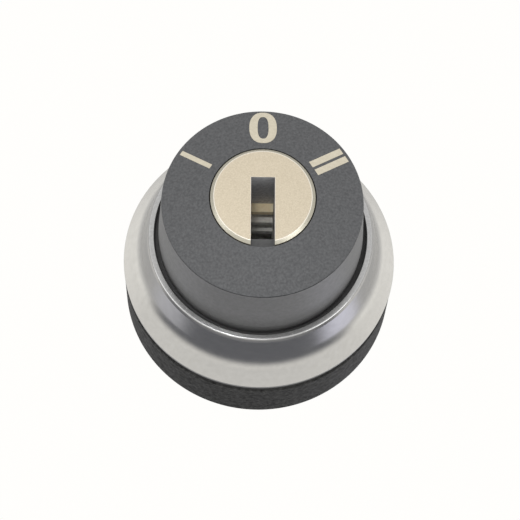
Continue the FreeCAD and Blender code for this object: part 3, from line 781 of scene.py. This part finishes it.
def make_guide():
    """Rear guide plate with rounded edges and a hole for each plunger."""
    plate = BUSHING_BORE - PLAY
    hole = PLUNGER_RADIUS + PLAY
    profile = rounded([
        (0, GUIDE_BOTTOM, 0),
        (plate, GUIDE_BOTTOM, 0.3),
        (plate, GUIDE_TOP, 0.1),
        (0, GUIDE_TOP, 0),
    ])
    piece = turned_piece("guide", profile, housing_plastic, "housing", "black_plastic", "rear_guide")
    vertices, faces = turned(
        [(0, GUIDE_BOTTOM - 1), (hole, GUIDE_BOTTOM - 1), (hole, GUIDE_TOP + 1), (0, GUIDE_TOP + 1)], 64)
    cut(piece, [
        new_piece("cutter", shifted(vertices, side * PLUNGER_OFFSET), faces, housing_plastic, None, None)
        for side in (-1, 1)
    ])


def make_plunger(name, side):
    """Plunger with a rounded tip and a collar for its spring."""
    low, high = corner(name, False).z, corner(name, True).z
    profile = rounded([
        (0, low, 0),
        (PLUNGER_RADIUS, low, 0.3),
        (PLUNGER_RADIUS, COLLAR_BOTTOM, 0),
        (COLLAR_RADIUS, COLLAR_BOTTOM, 0.1),
        (COLLAR_RADIUS, COLLAR_TOP, 0.1),
        (PLUNGER_RADIUS, COLLAR_TOP, 0),
        (PLUNGER_RADIUS, high, 1.35),
        (0, high, 0),
    ])
    vertices, faces = turned(profile, 96)
    new_piece(f"{name}_rod", shifted(vertices, side * PLUNGER_OFFSET), faces, plunger_plastic,
              name, "plunger_plastic", name)


def make_plunger_spring(name, side):
    """Return spring coiled between the rear guide and a plunger's collar."""
    low, high = corner(name, False).z + SPRING_WIRE, corner(name, True).z - SPRING_WIRE
    middle = side * PLUNGER_OFFSET
    vertices, faces = coil(SPRING_RADIUS, SPRING_WIRE, SPRING_COILS, low, high)
    piece = new_piece(f"{name}_coil", shifted(vertices, middle), faces, spring_steel, None, None)
    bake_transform(piece)
    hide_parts(name)


CARRIED = {
    "lock_sleeve": zinc_casting,
    "barrel_seal": gasket_rubber,
    "retaining_clip": spring_steel,
    "cam_drum": cam_plastic,
    "drum_screw": screw_steel,
    "detent_spring": spring_steel,
    # the first wafer wears the painted glint
    "lock_wafer_1": front_wafer_glint,
    **{f"lock_wafer_{index}": wafer_brass for index in range(2, WAFERS + 1)},
}


def dress_carried_nodes():
    """Materials for the CAD pieces that stay."""
    for name, material in CARRIED.items():
        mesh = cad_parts[name].data
        mesh.materials.clear()
        mesh.materials.append(material)


make_bezel()
make_cap()
make_zero()
make_bars("mark_one", "legend_one", *ONE_BARS)
make_bars("mark_two", "legend_two", *TWO_BARS)
make_barrel()
make_gasket()
make_washer()
make_nut()
make_housing()
make_guide()
for hand, side in HANDS:
    make_plunger(f"plunger_{hand}", side)
for hand, side in HANDS:
    make_plunger_spring(f"plunger_spring_{hand}", side)
dress_carried_nodes()
level_normals()


# ---------------------------------------------------------------- stage, light and camera

PAPER = (1.0, 0.993, 0.975)

# brightness of the surroundings by the sine of the elevation
SKY = [
    (-1.0, (0.35, 0.35, 0.35)),
    (-0.8, (0.46, 0.455, 0.45)),
    (-0.55, (0.76, 0.75, 0.73)),
    (-0.41, (1.15, 1.13, 1.08)),
    (-0.1, (0.92, 0.90, 0.86)),
    (0.1, (0.74, 0.73, 0.71)),
    (0.42, (0.95, 0.94, 0.92)),
    (0.6, (1.25, 1.24, 1.22)),
    (0.85, (1.30, 1.29, 1.27)),
    (1.0, (0.85, 0.845, 0.84)),
]

# the shadowed table low down in front: its colour, its turn in degrees about the switch axis,
# and where it fades in, by how far a direction points to the front and how far down
SHADOW = (0.142, 0.145, 0.16)
SHADOW_TURN = 9.0
SHADOW_FRONT = (-0.08, -0.42)
SHADOW_BELOW = (-0.12, -0.5)

# bright patches of table beside that shadow: direction and colour
PATCHES = [
    ((0.535, -0.20, -0.82), (0.90, 0.90, 1.04)),
    ((-0.56, -0.12, -0.82), (0.62, 0.62, 0.66)),
]
PATCH_EDGE = (0.965, 0.998)

# soft square lights: name, place and size in metres, power in watts
LIGHTS = [
    ("side", (-0.5, -0.1, 0.35), 0.3, 0.4),
    ("right", (0.45, -0.3, 0.35), 0.3, 0.8),
    ("above", (-0.06, -0.03, 0.6), 0.06, 0.55),
]


def make_floor():
    """Plain pale floor under the rear rim, bright enough to read as paper white."""
    half = 4.0
    mesh = bpy.data.meshes.new("floor")
    level = BUSHING_BOTTOM * MM
    corners = [(-half, -half, level), (half, -half, level), (half, half, level), (-half, half, level)]
    mesh.from_pydata(corners, [], [(0, 1, 2, 3)])
    floor = bpy.data.objects.new("floor", mesh)
    bpy.context.scene.collection.objects.link(floor)
    paper = bpy.data.materials.new("paper")
    paper.use_nodes = True
    tree = paper.node_tree
    tree.nodes.clear()
    glow = node(tree, "ShaderNodeEmission", Color=(*PAPER, 1), Strength=1.0)
    output = tree.nodes.new("ShaderNodeOutputMaterial")
    tree.links.new(glow.outputs["Emission"], output.inputs["Surface"])
    mesh.materials.append(paper)
    floor.visible_glossy = False
    floor.visible_diffuse = False
    floor.visible_shadow = False


def between(tree, value, start, end):
    """Smooth step of a value from 0 at start to 1 at end."""
    made = node(tree, "ShaderNodeMapRange", Value=value)
    made.interpolation_type = "SMOOTHSTEP"
    made.inputs["From Min"].default_value = start
    made.inputs["From Max"].default_value = end
    return made.outputs["Result"]


def backdrop(tree, colour, strength=1.0):
    """Surroundings of one colour, or of the colours from a socket."""
    if not isinstance(colour, bpy.types.NodeSocket):
        colour = (*colour, 1)
    return node(tree, "ShaderNodeBackground", Color=colour, Strength=strength).outputs["Background"]


def mixed(tree, share, first, second):
    """Shader that goes from the first to the second as share goes from 0 to 1."""
    both = tree.nodes.new("ShaderNodeMixShader")
    tree.links.new(share, both.inputs["Fac"])
    tree.links.new(first, both.inputs[1])
    tree.links.new(second, both.inputs[2])
    return both.outputs["Shader"]


def sky_shader(tree, height):
    """Surroundings whose brightness follows the height of a direction."""
    ramp = tree.nodes.new("ShaderNodeValToRGB")
    stops = ramp.color_ramp.elements
    while len(stops) < len(SKY):
        stops.new(0.5)
    brightest = max(max(colour) for _, colour in SKY)
    for stop, (sine, colour) in zip(stops, SKY):
        stop.position = (sine + 1) / 2
        stop.color = (*[part / brightest for part in colour], 1)
    share = node(tree, "ShaderNodeMapRange", Value=height)
    share.inputs["From Min"].default_value = -1
    tree.links.new(share.outputs["Result"], ramp.inputs["Fac"])
    return backdrop(tree, ramp.outputs["Color"], brightest)


def shadow_share(tree, direction, height):
    """How far a direction points into the shadow low down in front, from 0 to 1."""
    turned_round = node(tree, "ShaderNodeVectorRotate", Vector=direction, Angle=math.radians(SHADOW_TURN))
    split = node(tree, "ShaderNodeSeparateXYZ", Vector=turned_round.outputs["Vector"])
    share = tree.nodes.new("ShaderNodeMath")
    share.operation = "MULTIPLY"
    tree.links.new(between(tree, split.outputs["Y"], *SHADOW_FRONT), share.inputs[0])
    tree.links.new(between(tree, height, *SHADOW_BELOW), share.inputs[1])
    return share.outputs["Value"]


def patch_share(tree, direction, centre):
    """How close a direction is to a patch's centre, from 0 to 1."""
    towards = tree.nodes.new("ShaderNodeVectorMath")
    towards.operation = "DOT_PRODUCT"
    tree.links.new(direction, towards.inputs[0])
    towards.inputs[1].default_value = Vector(centre).normalized()
    return between(tree, towards.outputs["Value"], *PATCH_EDGE)


def make_world():
    """Soft surroundings: bright all round and above, dark only low down in front."""
    world = bpy.data.worlds.new("studio")
    bpy.context.scene.world = world
    world.use_nodes = True
    tree = world.node_tree
    tree.nodes.clear()
    direction = tree.nodes.new("ShaderNodeTexCoord").outputs["Generated"]
    height = node(tree, "ShaderNodeSeparateXYZ", Vector=direction).outputs["Z"]
    shadow = shadow_share(tree, direction, height)
    shader = mixed(tree, shadow, sky_shader(tree, height), backdrop(tree, SHADOW))
    for centre, colour in PATCHES:
        shader = mixed(tree, patch_share(tree, direction, centre), shader, backdrop(tree, colour))
    output = tree.nodes.new("ShaderNodeOutputWorld")
    tree.links.new(shader, output.inputs["Surface"])


def soft_light(name, place, size, power):
    """Square light that faces the head."""
    data = bpy.data.lights.new(name, "AREA")
    data.shape = "SQUARE"
    data.size = size
    data.energy = power
    light = bpy.data.objects.new(name, data)
    light.location = place
    aim = Vector((0, 0, 0.008)) - light.location
    light.rotation_euler = aim.to_track_quat("-Z", "Y").to_euler()
    bpy.context.scene.collection.objects.link(light)


def make_camera():
    """Camera high over the -Y side, looking down on the face."""
    data = bpy.data.cameras.new("camera")
    data.lens = CAMERA_LENS
    data.sensor_width = 36.0
    data.clip_start = 0.005
    camera = bpy.data.objects.new("camera", data)
    azimuth, elevation = math.radians(CAMERA_AZIMUTH), math.radians(CAMERA_ELEVATION)
    away = Vector((
        math.cos(elevation) * math.sin(azimuth),
        -math.cos(elevation) * math.cos(azimuth),
        math.sin(elevation),
    ))
    upright = away.to_track_quat("Z", "Y").to_matrix()
    rolled = upright @ Matrix.Rotation(math.radians(CAMERA_ROLL), 3, "Z")
    camera.matrix_world = Matrix.Translation(
        (Vector(CAMERA_AIM) + away * CAMERA_DISTANCE) * MM) @ rolled.to_4x4()
    bpy.context.scene.collection.objects.link(camera)
    bpy.context.scene.camera = camera


make_floor()
make_world()
for light_facts in LIGHTS:
    soft_light(*light_facts)
make_camera()
bpy.context.scene.view_settings.view_transform = "Standard"
